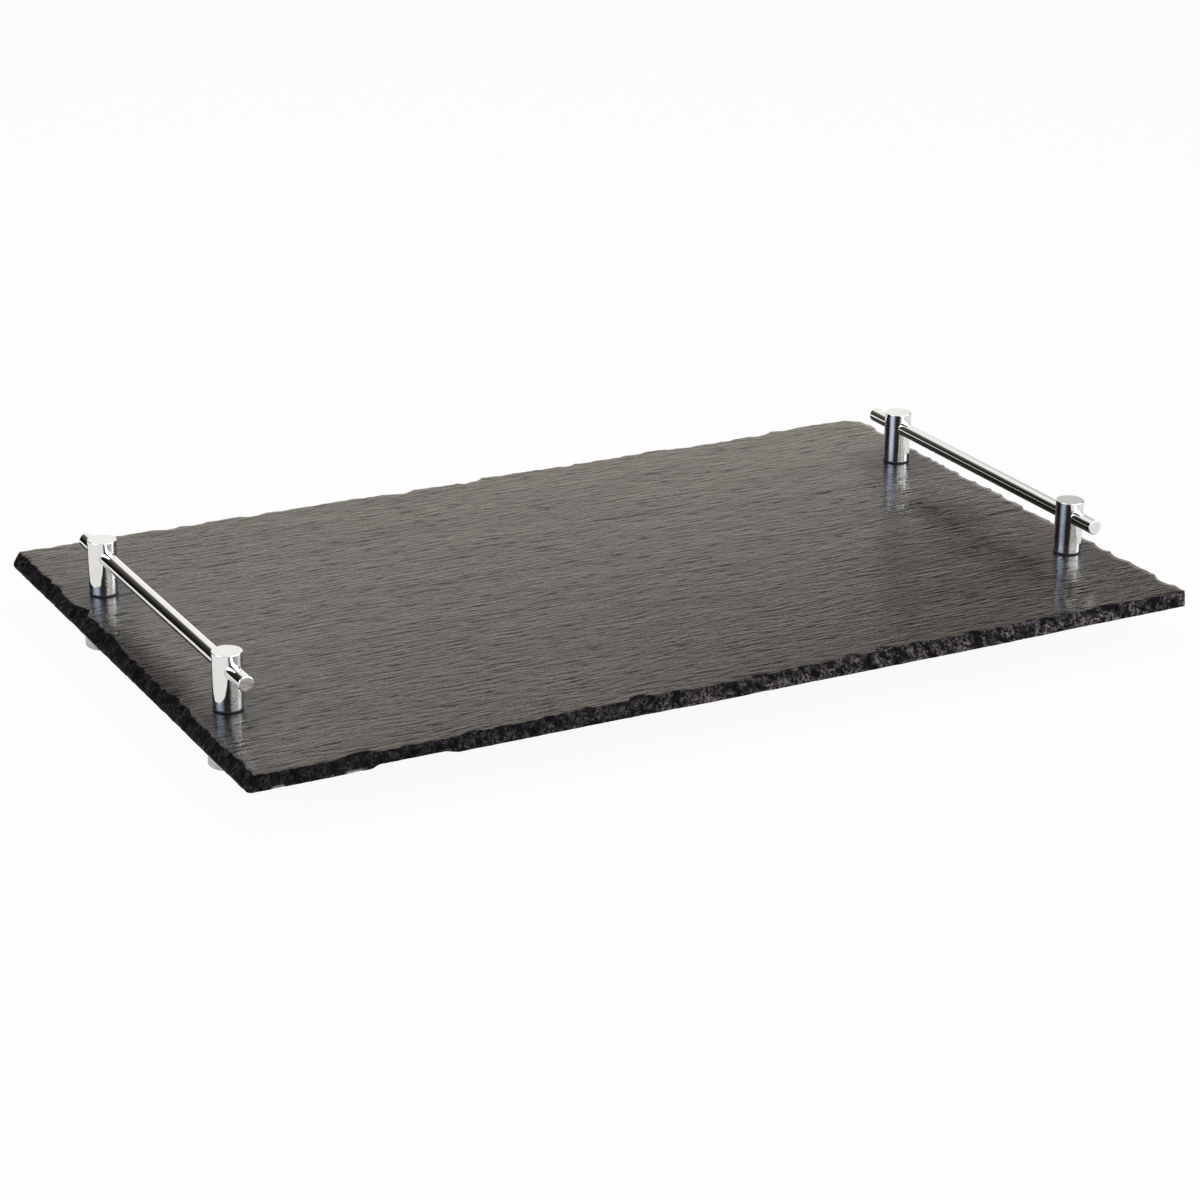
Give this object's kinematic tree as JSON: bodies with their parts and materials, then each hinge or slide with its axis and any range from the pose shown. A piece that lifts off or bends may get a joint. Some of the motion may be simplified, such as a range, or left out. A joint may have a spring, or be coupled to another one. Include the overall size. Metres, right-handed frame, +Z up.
{
  "type": "slate serving board",
  "caption": "Rectangular hewn slate serving board on round feet, with a raised bar handle on turned posts at each end.",
  "frame": {"origin": "on the table that the feet stand on, under the middle of the slate", "axes": "+X along the board's length to its right-hand handle, +Y to the rear, +Z up"},
  "size_m": [0.53, 0.325, 0.0577],
  "materials": {
    "slate": "split face, oiled",
    "chrome": "polished plate",
    "black_rubber": "matt",
    "foot_rubber": "translucent, satin",
    "screw_steel": "bright zinc"
  },
  "bodies": {
    "root": {"slate_board": "slate", "left_front_post": "chrome", "left_rear_post": "chrome", "right_front_post": "chrome", "right_rear_post": "chrome", "left_handle_bar": "chrome", "right_handle_bar": "chrome", "left_front_gasket": "black_rubber", "left_rear_gasket": "black_rubber", "right_front_gasket": "black_rubber", "right_rear_gasket": "black_rubber", "left_front_foot": "foot_rubber", "left_rear_foot": "foot_rubber", "right_front_foot": "foot_rubber", "right_rear_foot": "foot_rubber", "left_front_screw": "screw_steel", "left_rear_screw": "screw_steel", "right_front_screw": "screw_steel", "right_rear_screw": "screw_steel", "left_front_washer": "screw_steel", "left_rear_washer": "screw_steel", "right_front_washer": "screw_steel", "right_rear_washer": "screw_steel", "left_front_grub_screw": "screw_steel", "left_rear_grub_screw": "screw_steel", "right_front_grub_screw": "screw_steel", "right_rear_grub_screw": "screw_steel"}
  },
  "joints": []
}
